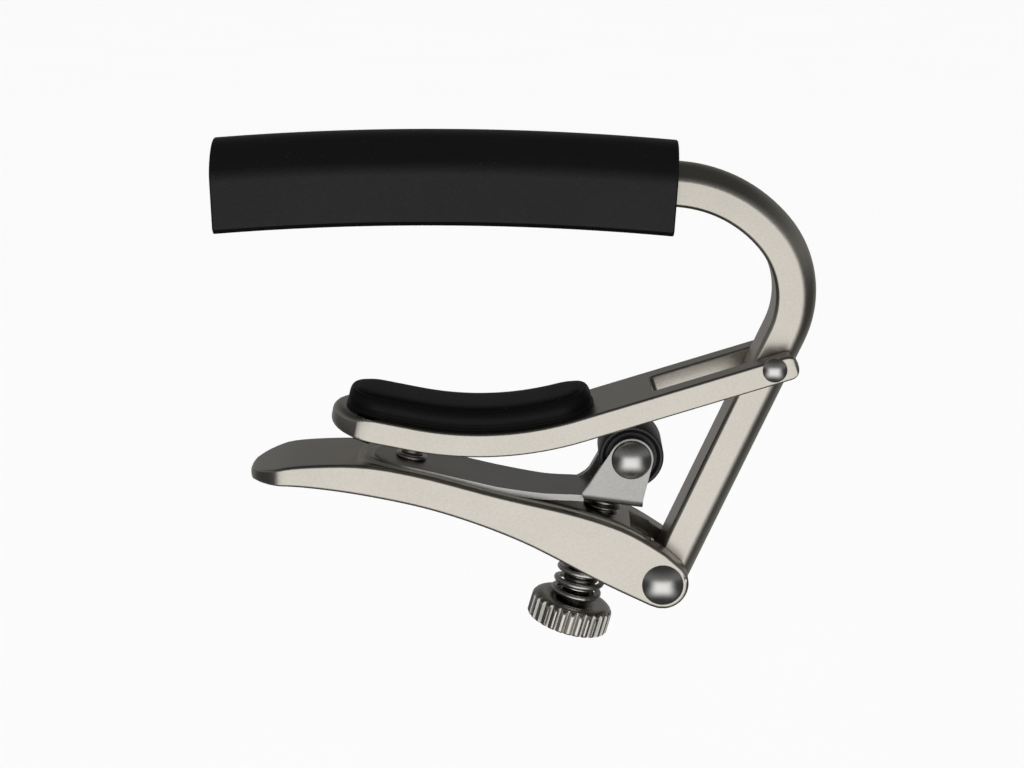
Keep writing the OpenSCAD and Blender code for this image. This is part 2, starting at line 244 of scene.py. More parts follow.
def round_weighed(piece, width, segments):
    """Rounds the marked edges of a piece, up to a width in millimetres."""
    rounding = piece.modifiers.new("Rounding", "BEVEL")
    rounding.width = width * MM
    rounding.segments = segments
    rounding.limit_method = "WEIGHT"
    rounding.offset_type = "OFFSET"
    rounding.use_clamp_overlap = False
    rounding.miter_outer = "MITER_ARC"


def bend_along(bm, start, heading, stretches):
    """Bends a straight blank. Its x runs along the stretches, each a length and a bend
    per millimetre, from a start point and heading; its z stands off to their left."""
    for v in bm.verts:
        s, y, t = v.co
        x, z, h = start[0], start[1], math.radians(heading)
        for i, (length, turn) in enumerate(stretches):
            step = s if s < length or i == len(stretches) - 1 else length
            if abs(turn) < 1e-9:
                x, z = x + step * math.cos(h), z + step * math.sin(h)
            else:
                x += (math.sin(h + turn * step) - math.sin(h)) / turn
                z += (math.cos(h) - math.cos(h + turn * step)) / turn
                h += turn * step
            s -= step
            if s <= 0:
                break
        v.co = (x - t * math.sin(h), y, z + t * math.cos(h))


def turned(bm, profile, steps=72):
    """A shape turned on a lathe: points as (radius, height), spun about z."""
    first = len(bm.verts)
    verts = [bm.verts.new((r, 0, z)) for r, z in profile]
    edges = [bm.edges.new(pair) for pair in zip(verts, verts[1:])]
    bmesh.ops.spin(bm, geom=verts + edges, cent=(0, 0, 0), axis=(0, 0, 1),
                   angle=2 * math.pi, steps=steps, use_merge=True)
    bm.verts.ensure_lookup_table()
    bmesh.ops.remove_doubles(bm, verts=bm.verts[first:], dist=1e-4)


def stand(bm, at, up):
    """Puts a shape drawn about z at a point, standing along a direction."""
    turn = Vector(up).to_track_quat("Z", "Y").to_matrix().to_4x4()
    bmesh.ops.transform(bm, matrix=Matrix.Translation(at) @ turn, verts=bm.verts)


def baked(piece):
    """A copy of a piece's mesh, with its modifiers applied."""
    shaped = piece.evaluated_get(bpy.context.evaluated_depsgraph_get())
    return bpy.data.meshes.new_from_object(shaped)


def bored(piece, at, up, r, depth):
    """Cuts a round hole into a finished piece, from a point on its axis downwards."""
    cutter_bm = bmesh.new()
    turned(cutter_bm, [(0, 0), (r, 0), (r, -depth), (0, -depth)], 64)
    stand(cutter_bm, at, up)
    cutter = mesh_object("cutter", cutter_bm)
    cut = piece.modifiers.new("Bore", "BOOLEAN")
    cut.operation = "DIFFERENCE"
    cut.solver = "EXACT"
    cut.object = cutter
    mesh = baked(piece)
    piece.modifiers.clear()
    piece.data = mesh
    bpy.data.objects.remove(cutter)


def mesh_object(name, bm):
    """Ends a shape: welds it, turns its faces outwards and brings it into metres."""
    bmesh.ops.remove_doubles(bm, verts=bm.verts, dist=5e-4)
    bmesh.ops.dissolve_degenerate(bm, dist=1e-4, edges=bm.edges)
    bmesh.ops.recalc_face_normals(bm, faces=bm.faces)
    bmesh.ops.scale(bm, vec=(MM, MM, MM), verts=bm.verts)
    mesh = bpy.data.meshes.new(name)
    bm.to_mesh(mesh)
    bm.free()
    obj = bpy.data.objects.new(name, mesh)
    bpy.context.scene.collection.objects.link(obj)
    return obj


def finish_piece(piece, finish, nodes, body, angle=38.0, even=True):
    """Gives a piece its shading and its finish, hides the CAD nodes that it stands for, and hangs it on
    its body's empty.
    """
    piece.data.shade_smooth()
    piece.data.set_sharp_from_angle(angle=math.radians(angle))
    piece.data.materials.clear()
    piece.data.materials.append(finish_named(finish))
    if even:
        normals = piece.modifiers.new("Even shading", "WEIGHTED_NORMAL")
        normals.keep_sharp = True
    if nodes:
        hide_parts(*nodes)
    if body:
        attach(piece, body)
    return piece


# ---- Materials -----------------------------------------------------------------


def feed(tree, socket, value):
    """Gives a socket a constant, or links another node's output to it."""
    if isinstance(value, bpy.types.NodeSocket):
        tree.links.new(value, socket)
    else:
        socket.default_value = value


def add(tree, kind, **inputs):
    """A node with its inputs fed by name, or by number as i0, i1 and so on."""
    node = tree.nodes.new("ShaderNode" + kind)
    for key, value in inputs.items():
        numbered = key[0] == "i" and key[1:].isdigit()
        feed(tree, node.inputs[int(key[1:]) if numbered else key.replace("_", " ")], value)
    return node


def math_node(tree, operation, a, b=0.0, clamp=False):
    node = add(tree, "Math", i0=a, i1=b)
    node.operation = operation
    node.use_clamp = clamp
    return node.outputs[0]


def times(tree, *values):
    return reduce(lambda a, b: math_node(tree, "MULTIPLY", a, b), values)


def plus(tree, *values):
    return reduce(lambda a, b: math_node(tree, "ADD", a, b), values)


def vector_node(tree, operation, **inputs):
    node = add(tree, "VectorMath", **inputs)
    node.operation = operation
    return node.outputs


def object_point(tree):
    return add(tree, "TexCoord").outputs["Object"]


def noise(tree, scale, detail, roughness=0.5, where=None):
    return add(tree, "TexNoise", Vector=where or object_point(tree), Scale=scale, Detail=detail,
               Roughness=roughness).outputs[0]


def group(name, inputs, outputs):
    """An empty shader group with named sockets: (name, type, default) and names of outputs."""
    tree = bpy.data.node_groups.new(name, "ShaderNodeTree")
    for label, kind, default in inputs:
        tree.interface.new_socket(label, in_out="INPUT", socket_type=kind).default_value = default
    for label in outputs:
        tree.interface.new_socket(label, in_out="OUTPUT", socket_type=FLOAT)
    return tree, tree.nodes.new("NodeGroupInput").outputs, tree.nodes.new("NodeGroupOutput").inputs


def use_group(tree, name, **inputs):
    node = tree.nodes.new("ShaderNodeGroup")
    node.node_tree = bpy.data.node_groups[name]
    for key, value in inputs.items():
        feed(tree, node.inputs[key.replace("_", " ")], value)
    return node.outputs


FLOAT = "NodeSocketFloat"
VECTOR = "NodeSocketVector"


def build_groups():
    """The effects that more than one finish uses."""
    # Edge wear: a mask that is 1 along outer edges, broken up by fine noise
    tree, given, out = group("Edge wear", [("Width", FLOAT, 0.0002), ("Amount", FLOAT, 1.0)], ["Mask"])
    rounded = add(tree, "Bevel", Radius=given["Width"])
    rounded.samples = 4
    facing = vector_node(tree, "DOT_PRODUCT", i0=rounded.outputs[0],
                         i1=add(tree, "NewGeometry").outputs["Normal"])
    edge = math_node(tree, "SUBTRACT", 1.0, facing["Value"], True)
    mask = times(tree, edge, times(tree, noise(tree, 900.0, 4.0, 0.6), 12.0))
    tree.links.new(math_node(tree, "MULTIPLY", mask, given["Amount"], True), out["Mask"])

    # Grain: fine mottling of a blasted or moulded surface, with slow patches under it
    tree, given, out = group(
        "Grain", [("Scale", FLOAT, 5000.0), ("Patch scale", FLOAT, 160.0), ("Contrast", FLOAT, 0.1)],
        ["Tone", "Height"])
    fine = noise(tree, given["Scale"], 3.0, 0.65)
    both = plus(tree, times(tree, fine, 1.3), times(tree, noise(tree, given["Patch scale"], 3.0), 0.7))
    swing = times(tree, math_node(tree, "SUBTRACT", both, 1.0), given["Contrast"])
    tree.links.new(plus(tree, swing, 1.0), out["Tone"])
    tree.links.new(fine, out["Height"])

    # Brushing: long scratches along one axis of the piece
    tree, given, out = group("Brushing", [("Stretch", VECTOR, (150.0, 4000.0, 4000.0))], ["Tone"])
    drawn = vector_node(tree, "MULTIPLY", i0=object_point(tree), i1=given["Stretch"])[0]
    tree.links.new(noise(tree, 1.0, 4.0, 0.6, drawn), out["Tone"])

    # Dust: sparse pale specks
    tree, given, out = group("Dust", [("Scale", FLOAT, 1500.0), ("Amount", FLOAT, 0.1)], ["Mask"])
    cells = add(tree, "TexVoronoi", Vector=object_point(tree), Scale=given["Scale"])
    speck = math_node(tree, "LESS_THAN", cells.outputs["Distance"], 0.13)
    rare = math_node(tree, "GREATER_THAN", noise(tree, 260.0, 2.0), 0.55)
    tree.links.new(times(tree, speck, rare, given["Amount"]), out["Mask"])


def blended(tree, low, high, factor):
    """Two colours mixed by a factor."""
    node = tree.nodes.new("ShaderNodeMix")
    node.data_type = "RGBA"
    for place, value in ((0, factor), (6, low), (7, high)):
        feed(tree, node.inputs[place], value)
    return node.outputs[2]


def scaled(tree, shade, tone):
    """A colour multiplied by a tone that changes over the surface."""
    return vector_node(tree, "SCALE", i0=tuple(shade), i3=tone)[0]


def painted_hollow_shade(tree, distance, power):
    """Painted shade: a tone, taken from ambient occlusion, that falls off in hollows."""
    hollow_shade = add(tree, "AmbientOcclusion", Distance=distance)
    hollow_shade.samples = 4
    return math_node(tree, "POWER", hollow_shade.outputs["AO"], power)


def shader(name, **constants):
    """A material's tree and its shader's sockets, with constants on them."""
    material = bpy.data.materials.new(name)
    material.use_nodes = True
    inputs = material.node_tree.nodes["Principled BSDF"].inputs
    for key, value in constants.items():
        inputs[key.replace("_", " ")].default_value = value
    return material.node_tree, inputs


def surface(tree, inputs, shade, rough, height, depth, strength):
    """Links a colour, a roughness and a bump to a shader."""
    bump = add(tree, "Bump", Height=height, Distance=depth, Strength=strength).outputs[0]
    for socket, value in (("Base Color", shade), ("Roughness", rough), ("Normal", bump)):
        tree.links.new(value, inputs[socket])


def satin_nickel(finish):
    """Blasted nickel plate: sandy grain, slow patches, edges a little polished."""
    tree, inputs = shader("Satin nickel", Metallic=1.0)
    grain = use_group(tree, "Grain", Scale=3400.0, Patch_scale=140.0, Contrast=0.3)
    wear = use_group(tree, "Edge wear", Width=0.00022, Amount=0.8)["Mask"]
    shade = blended(tree, scaled(tree, finish.nickel, grain["Tone"]), (0.86, 0.83, 0.77, 1), wear)
    rough = math_node(tree, "SUBTRACT", times(tree, grain["Tone"], finish.nickel_roughness),
                      times(tree, wear, 0.1))
    surface(tree, inputs, shade, rough, grain["Height"], 0.00002, 0.6)


def polished_steel(finish):
    """Rivet heads: polished, with a faint haze, and painted shade that darkens them round their rims."""
    tree, inputs = shader("Polished steel", Metallic=1.0)
    grain = use_group(tree, "Grain", Scale=2500.0, Patch_scale=500.0, Contrast=0.5)
    # painted shade: ambient occlusion darkens the steel's colour round its rims and in hollows
    tone = times(tree, plus(tree, times(tree, grain["Tone"], 0.15), 0.85), painted_hollow_shade(tree, 0.0014, 1.6))
    surface(tree, inputs, scaled(tree, finish.steel, tone), times(tree, grain["Tone"], 0.25),
            grain["Height"], 0.00001, 0.15)


def brushed_steel(name, base, stretch, roughness):
    """Spring stock: fine lines along the sheet, brighter along its sheared edges."""
    tree, inputs = shader(name, Metallic=1.0)
    lines = use_group(tree, "Brushing", Stretch=stretch)["Tone"]
    grain = use_group(tree, "Grain", Scale=3000.0, Patch_scale=220.0, Contrast=0.25)
    wear = use_group(tree, "Edge wear", Width=0.00012, Amount=0.8)["Mask"]
    tone = times(tree, grain["Tone"], plus(tree, times(tree, lines, 0.3), 0.85))
    shade = blended(tree, scaled(tree, base, tone), (0.8, 0.79, 0.77, 1), wear)
    surface(tree, inputs, shade, plus(tree, times(tree, lines, 0.16), roughness), lines, 0.00002, 0.25)


def plated_screw(finish):
    """Bright plate on the screw, with painted shade that dulls and darkens its colour in the grooves of
    thread and knurl.
    """
    tree, inputs = shader("Screw nickel", Metallic=1.0)
    grain = use_group(tree, "Grain", Scale=2600.0, Patch_scale=350.0, Contrast=0.35)
    wear = use_group(tree, "Edge wear", Width=0.00018, Amount=1.0)["Mask"]
    # painted shade: ambient occlusion darkens the plate's colour in the grooves of thread and knurl
    plate_with_painted_shade = scaled(tree, finish.screw, times(tree, grain["Tone"], painted_hollow_shade(tree, 0.0009, 1.4)))
    surface(tree, inputs, blended(tree, plate_with_painted_shade, (0.9, 0.88, 0.84, 1), wear),
            times(tree, grain["Tone"], 0.24), grain["Height"], 0.00002, 0.2)


def black_rubber(name, base, roughness, shine, grain_scale, bump, dust):
    """Moulded rubber: fine grain, a slow drift of gloss, and a few specks of dust."""
    tree, inputs = shader(name, Specular_IOR_Level=shine, IOR=1.5)
    grain = use_group(tree, "Grain", Scale=grain_scale, Patch_scale=90.0, Contrast=0.35)
    specks = use_group(tree, "Dust", Scale=1100.0, Amount=dust)["Mask"]
    shade = blended(tree, scaled(tree, base, grain["Tone"]), (0.05, 0.05, 0.05, 1), specks)
    surface(tree, inputs, shade, times(tree, grain["Tone"], roughness), grain["Height"], 0.00004, bump)


def turned_plastic(finish):
    """Acetal: rings left by the lathe about the roller's axis, a soft gloss."""
    tree, inputs = shader("Turned plastic", IOR=1.48)
    centred = add(tree, "Mapping", Vector=object_point(tree), Location=tuple(-ROLLER_AXIS * MM))
    flat = vector_node(tree, "MULTIPLY", i0=centred.outputs[0], i1=(1.0, 0.0, 1.0))[0]
    reach = vector_node(tree, "LENGTH", i0=flat)["Value"]
    rings = math_node(tree, "SINE", times(tree, reach, 42000.0))
    grain = use_group(tree, "Grain", Scale=2500.0, Patch_scale=300.0, Contrast=0.5)
    surface(tree, inputs, scaled(tree, finish.roller, grain["Tone"]), times(tree, grain["Tone"], 0.33),
            plus(tree, rings, grain["Height"]), 0.00001, 0.25)


def finish_named(name):
    """A finish by its name, with every finish made the first time that one is asked for."""
    if "Grain" not in bpy.data.node_groups:
        build_groups()
        finish = bpy.context.scene.capo_finish
        satin_nickel(finish)
        polished_steel(finish)
        brushed_steel("Brushed leaf", finish.leaf, (220.0, 5200.0, 5200.0), 0.24)
        brushed_steel("Drawn wire", finish.steel, (1500.0, 1500.0, 5000.0), 0.2)
        plated_screw(finish)
        black_rubber("Sleeve rubber", finish.sleeve, 0.42, 0.34, 2400.0, 0.6, 0.12)
        black_rubber("Pad rubber", finish.pad, 0.45, 0.17, 2200.0, 0.4, 0.25)
        turned_plastic(finish)
    return bpy.data.materials[name]


# ---- Bar and sleeve ------------------------------------------------------------

BAR_W = 6.35
BAR_T = 5.35
BAR_SIDE = 3.65
FRET_R = 330.0
SLEEVE_FLOOR = 3.2
ARCH_R = FRET_R + SLEEVE_FLOOR
SLEEVE_START = -4.64
SLEEVE_L = 56.2
SLEEVE_W, SLEEVE_H, SLEEVE_SIDE = 12.0, 11.1, 7.5
SLEEVE_SHOULDER_R = 1.1
SLEEVE_END_FADE = 9.0
SLEEVE_LEAN_LEFT, SLEEVE_LEAN_RIGHT = 0.055, 0.03
ARCH_END = 5.27
BAR_START = SLEEVE_START + 0.2
BEND_1_R, BEND_1_END = 14.8, 49.8
BEND_2_R, BEND_2_END = 9.8, 114.1
LEG_TO_PIVOT = 35.4
PIVOT_IN = 1.7
BAR_END_R = 3.25


def arch_point(degrees):
    """A point on the arch's line, at a clockwise angle from straight up."""
    return ARCH_R * sine(degrees), -FRET_R + ARCH_R * cosine(degrees)


def crowned_section(width, height, side, corner, crown_steps=14):
    """A section as (across, up): flat base and sides, and a crown over them."""
    half, rise = width / 2, height - side
    r = (half * half + rise * rise) / (2 * rise)
    reach = math.degrees(math.asin(half / r))
    crown = arc((0, height - r), r, 90 - reach, 90 + reach, crown_steps)
    return [(-half + corner, 0), (half - corner, 0), (half, corner)] + crown + [(-half, corner)]


class CAPO_OT_bar(Operator):
    """Bent nickel bar with a crowned back, two bends and a leg with a round end"""

    bl_idname = "capo.bar"
    bl_label = "Bent bar"

    def execute(self, context):
        sizes = context.scene.capo_sizes
        arch = math.radians(ARCH_END - BAR_START) * ARCH_R
        bend_1 = math.radians(BEND_1_END - ARCH_END) * BEND_1_R
        bend_2 = math.radians(BEND_2_END - BEND_1_END) * BEND_2_R
        pivot = arch + bend_1 + bend_2 + LEG_TO_PIVOT
        bm = bmesh.new()
        flat_face(bm, crowned_section(BAR_W, BAR_T, BAR_SIDE, 0.4), lambda a, b: (0, a, b))
        thicken(bm, (pivot + BAR_END_R, 0, 0))
        soften(bm, sizes.bar_softness, lambda a, b: min(a.z, b.z) > BAR_SIDE - 0.1
               and abs(a.x - b.x) > 1, 4, 15)
        soften(bm, 0.15, lambda a, b: abs(a.x - b.x) > 1 and max(a.z, b.z) < 1, 2, 30)
        cut_stations(bm, spread(0, arch, 40) + spread(arch, arch + bend_1, 16)[1:]
                     + spread(arch + bend_1, arch + bend_1 + bend_2, 24)[1:]
                     + [pivot + BAR_END_R * sine(a) for a in range(0, 88, 8)])
        for v in bm.verts:
            if v.co.x > pivot:
                cut = math.sqrt(max(0.0, 1 - ((v.co.x - pivot) / BAR_END_R) ** 2))
                v.co.z = min(max(v.co.z, PIVOT_IN - BAR_END_R * cut),
                             PIVOT_IN + (BAR_T - PIVOT_IN) * cut)
        bend_along(bm, arch_point(BAR_START), -BAR_START, [
            (arch, -1 / ARCH_R), (bend_1, -1 / BEND_1_R), (bend_2, -1 / BEND_2_R), (50, 0)])
        finish_piece(mesh_object("bent_bar", bm), "Satin nickel", ["fret_bar"], "fret_bar")
        return {"FINISHED"}


class CAPO_OT_sleeve(Operator):
    """Rubber sleeve over the bar's arch, open at both ends"""

    bl_idname = "capo.sleeve"
    bl_label = "Rubber sleeve"

    def execute(self, context):
        length = SLEEVE_L * ARCH_R / FRET_R
        bm = bmesh.new()
        outer = flat_face(bm, crowned_section(SLEEVE_W, SLEEVE_H, SLEEVE_SIDE, 0.6, 22),
                          lambda a, b: (0, a, b - SLEEVE_FLOOR))
        shoulders = [v for v in outer.verts
                     if abs(abs(v.co.y) - SLEEVE_W / 2) < 0.01 and v.co.z > 3]
        round_corners(bm, shoulders, SLEEVE_SHOULDER_R, 5)
        outer_edges = bm.edges[:]
        inner = flat_face(bm, crowned_section(BAR_W + 0.02, BAR_T + 0.02, BAR_SIDE, 0.4),
                          lambda a, b: (0, a, b))
        inner_edges = inner.edges[:]
        bmesh.ops.delete(bm, geom=bm.faces[:], context="FACES_ONLY")
        bmesh.ops.bridge_loops(bm, edges=outer_edges + inner_edges)
        thicken(bm, (length, 0, 0))
        soften(bm, 0.22, lambda a, b: abs(a.x - b.x) < 0.01, 3, 60)
        cut_stations(bm, spread(0, length, 36)[1:-1])
        for v in bm.verts:
            lower = SLEEVE_H - SLEEVE_FLOOR - v.co.z
            near_left = max(0.0, 1 - v.co.x / SLEEVE_END_FADE)
            near_right = max(0.0, 1 - (length - v.co.x) / SLEEVE_END_FADE)
            v.co.x -= lower * (SLEEVE_LEAN_LEFT * near_left - SLEEVE_LEAN_RIGHT * near_right)
        bend_along(bm, arch_point(SLEEVE_START), -SLEEVE_START, [(length, -1 / ARCH_R)])
        finish_piece(mesh_object("rubber_sleeve", bm), "Sleeve rubber", ["fret_sleeve"], "fret_bar")
        return {"FINISHED"}


# ---- Neck arm and pad ----------------------------------------------------------

ARM_W = 12.7
ARM_T = 3.1
CRADLE_R = 44.8
ARM_SLOPE = 17.5
ARM_FLAT = 25.5
ARM_PIN_HEIGHT = 1.9
ARM_TAIL = 3.0
ARM_SLOT = 18.5
FORK_GAP = 6.75
NOSE_SLOPE = -11.3
NOSE_L = 9.0
NOSE_PLAN_R = 7.2
ARM_END_R = 1.3
ARM_ROUNDING = 1.5
NOSE_SOFTNESS = 1.15
PAD_W = 10.3
PAD_T = 2.8


def arm_line(r):
    """Start point of the arm's bend line at a radius about the cradle's centre."""
    rise, run = sine(ARM_SLOPE), cosine(ARM_SLOPE)
    pin_r = CRADLE_R - ARM_PIN_HEIGHT
    centre_x = ARM_PIVOT.x - ARM_FLAT * run - pin_r * rise
    centre_z = ARM_PIVOT.z - ARM_FLAT * rise + pin_r * run
    return (centre_x + r * sine(NOSE_SLOPE) - NOSE_L * cosine(NOSE_SLOPE),
            centre_z - r * cosine(NOSE_SLOPE) - NOSE_L * sine(NOSE_SLOPE))


def bend_as_arm(bm, r):
    """Bends a blank whose base lies on the arm's line of that radius."""
    cradle = math.radians(ARM_SLOPE - NOSE_SLOPE) * r
    bend_along(bm, arm_line(r), NOSE_SLOPE, [(NOSE_L, 0), (cradle, 1 / r), (ARM_FLAT + 20, 0)])


class CAPO_OT_arm(Operator):
    """Neck arm: a sheet with a bull-nosed round end, a cradle and a forked straight"""

    bl_idname = "capo.arm"
    bl_label = "Neck arm"

    def execute(self, context):
        sizes = context.scene.capo_sizes
        half = ARM_W / 2
        left = -ARM_T / 2
        cradle_end = NOSE_L + math.radians(ARM_SLOPE - NOSE_SLOPE) * CRADLE_R
        end = cradle_end + ARM_FLAT + ARM_TAIL
        wall = end - ARM_SLOT
        reach = math.degrees(math.asin(half / NOSE_PLAN_R))
        nose = arc((left + NOSE_PLAN_R, 0), NOSE_PLAN_R, 180 - reach, 180 + reach, 28)
        outline = nose + [(end, -half), (end, -FORK_GAP / 2), (wall, -FORK_GAP / 2),
                          (wall, FORK_GAP / 2), (end, FORK_GAP / 2), (end, half)]
        bm = bmesh.new()
        flat_face(bm, outline, lambda a, b: (a, b, 0))
        for offset, at in ((0.5, end), (1.5, max(nose[0][0], nose[-1][0]))):
            corners = [v for v in bm.verts if abs(v.co.x - at) < 0.01 and abs(v.co.y) > half - 0.01]
            round_corners(bm, corners, offset, 7)
        slot_corners = [v for v in bm.verts if abs(v.co.x - wall) < 0.01 and abs(v.co.y) < half - 0.1]
        round_corners(bm, slot_corners, 0.6, 4)
        thicken(bm, (0, 0, ARM_T))
        cut_stations(bm, [left + 3.0 + 0.4 * i for i in range(1, 8)]
                     + [end - ARM_END_R * (1 - sine(d)) for d in (0, 18, 36, 52, 66, 78)])

        def share(a, b):
            if abs(a.z - b.z) > 0.01:
                return 0.0
            full = min(max((left + 5.6 - (a.x + b.x) / 2) / 3.2, 0), 1)
            more = (NOSE_SOFTNESS - sizes.arm_softness) * full * full
            return (sizes.arm_softness + more) / ARM_ROUNDING

        weigh_edges(bm, share)
        piece = mesh_object("flat_arm", bm)
        round_weighed(piece, ARM_ROUNDING, 6)
        bm = bmesh.new()
        bm.from_mesh(baked(piece))
        bpy.data.objects.remove(piece)
        bmesh.ops.scale(bm, vec=(1 / MM,) * 3, verts=bm.verts)
        for v in bm.verts:
            over = v.co.x - (end - ARM_END_R)
            if over > 0:
                drop = ARM_END_R - math.sqrt(max(0.0, ARM_END_R ** 2 - over ** 2))
                v.co.z += drop * (1 - 2 * v.co.z / ARM_T)
        cut_stations(bm, spread(NOSE_L, cradle_end, 24))
        bend_as_arm(bm, CRADLE_R)
        finish_piece(mesh_object("arm_body", bm), "Satin nickel", ["neck_arm"], "neck_arm")
        return {"FINISHED"}


class CAPO_OT_pad(Operator):
    """Moulded rubber pad: a base flange, a bulging wall, and a crease round its top"""

    bl_idname = "capo.pad"
    bl_label = "Neck pad"

    def execute(self, context):
        r = CRADLE_R - ARM_T
        low, high = (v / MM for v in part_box("neck_pad"))
        start_x, _ = arm_line(r)
        left = (low.x - start_x) / cosine(NOSE_SLOPE) + 0.1
        length = (high.x - low.x) * 1.012
        corner = 4.2
        bm = bmesh.new()
        bmesh.ops.create_circle(bm, cap_ends=False, segments=56, radius=1.0)
        hub_x, hub_y = length / 2 - corner, PAD_W / 2 - corner
        middle = left + length / 2

        def ring(verts, inset, height):
            for v, way in verts:
                v.co = (middle + math.copysign(hub_x, way.x) + way.x * (corner - inset),
                        math.copysign(hub_y, way.y) + way.y * (corner - inset), height)

        loop = [(v, v.co.copy()) for v in bm.verts]
        for v, way in loop:
            way.x += 1e-5
            way.y += 1e-5
        edges = bm.edges[:]
        wall = [(0.02, 0.0), (0.0, 0.1), (0.0, 0.22), (0.06, 0.32), (0.18, 0.38), (0.2, 0.48),
                (0.12, 0.75), (0.07, 1.1), (0.08, 1.5), (0.17, 1.9), (0.33, 2.2), (0.52, 2.36),
                (0.7, 2.42), (0.82, 2.38), (0.9, 2.38), (1.0, 2.46), (1.2, 2.6), (1.6, 2.71),
                (2.2, 2.77), (3.2, PAD_T)]
        ring(loop, *wall[0])
        base = bm.faces.new([v for v, _ in loop])
        for inset, height in wall[1:]:
            result = bmesh.ops.extrude_edge_only(bm, edges=edges)
            edges = [g for g in result["geom"] if isinstance(g, bmesh.types.BMEdge)]
            fresh = {tuple(round(c, 5) for c in v.co): v for v in new_verts(result)}
            loop = [(fresh[tuple(round(c, 5) for c in v.co)], way) for v, way in loop]
            ring(loop, inset, height)
        bm.faces.new([v for v, _ in loop])
        cut_stations(bm, spread(left + 0.5, left + length - 0.5, 44))
        cut_stations(bm, [0.01], (0, 1, 0))
        bend_as_arm(bm, r)
        piece = finish_piece(mesh_object("arm_pad", bm), "Pad rubber", ["neck_pad"], "neck_arm",
                             angle=60, even=False)
        return {"FINISHED"}


# ---- Lever ---------------------------------------------------------------------

LEVER_W = 12.7
LEVER_TOP = [(-52.7, 14.3), (-50.4, 15), (-46.5, 15.75), (-38.6, 15.9), (-31, 14.6),
             (-21, 11.9), (-11, 9.45), (-4.5, 7.1), (0.4, 4.1)]
LEVER_UNDER = [(-1.7, -2.89), (-8.1, 0.25), (-18.3, 5.7), (-28.5, 9.55), (-38, 11.75),
               (-46.3, 12.9), (-52, 13.05)]
LEVER_END_R = 3.35
TIP_CENTRE, TIP_R = (-52.5, 13.6), 0.65
TIP_X = TIP_CENTRE[0] - TIP_R
TIP_PLAN_R = 7.0
RECESS_D = 1.75
RECESS_HALF = 5.3
RECESS_LEFT = -38.4
RECESS_RIGHT = -1.5
FORK_X = -4.1
FORK_HALF = 3.4
LEVER_ROUNDING = 0.5
SPOT_FACE_R, SPOT_FACE_DEPTH = 3.6, 12
BOSS_R, BOSS_TOP, BOSS_FOOT = 1.8, 0.8, -0.6
BOSS_DROP = 1.45
SPRING_SEAT = 8.5
LEAF_LEAN = 11.3
LEAF_UP = Vector((sine(LEAF_LEAN), 0, cosine(LEAF_LEAN)))
LEVER_TOP_LINE = (arc(TIP_CENTRE, TIP_R, 180, 110, 6) + spline(LEVER_TOP)
                  + arc((0, 0), LEVER_END_R, 42, 0, 10))
LEVER_UNDER_LINE = (arc(TIP_CENTRE, TIP_R, 180, 250, 6) + spline(LEVER_UNDER)[::-1]
                    + arc((0, 0), LEVER_END_R, -118, 0, 24))


def lever_half(x):
    """Half the lever's depth at x, which rounds off towards its tip."""
    reach = TIP_PLAN_R ** 2 - min(0.0, x - TIP_X - TIP_PLAN_R) ** 2
    return min(LEVER_W / 2, math.sqrt(max(0.0, reach)))


def recess_half(x):
    """Half the recess's width at x, from its round left end."""
    from_hub = RECESS_LEFT + RECESS_HALF - x
    if from_hub <= 0:
        return RECESS_HALF
    if from_hub >= RECESS_HALF:
        return 0.0
    return math.sqrt(RECESS_HALF ** 2 - from_hub ** 2)


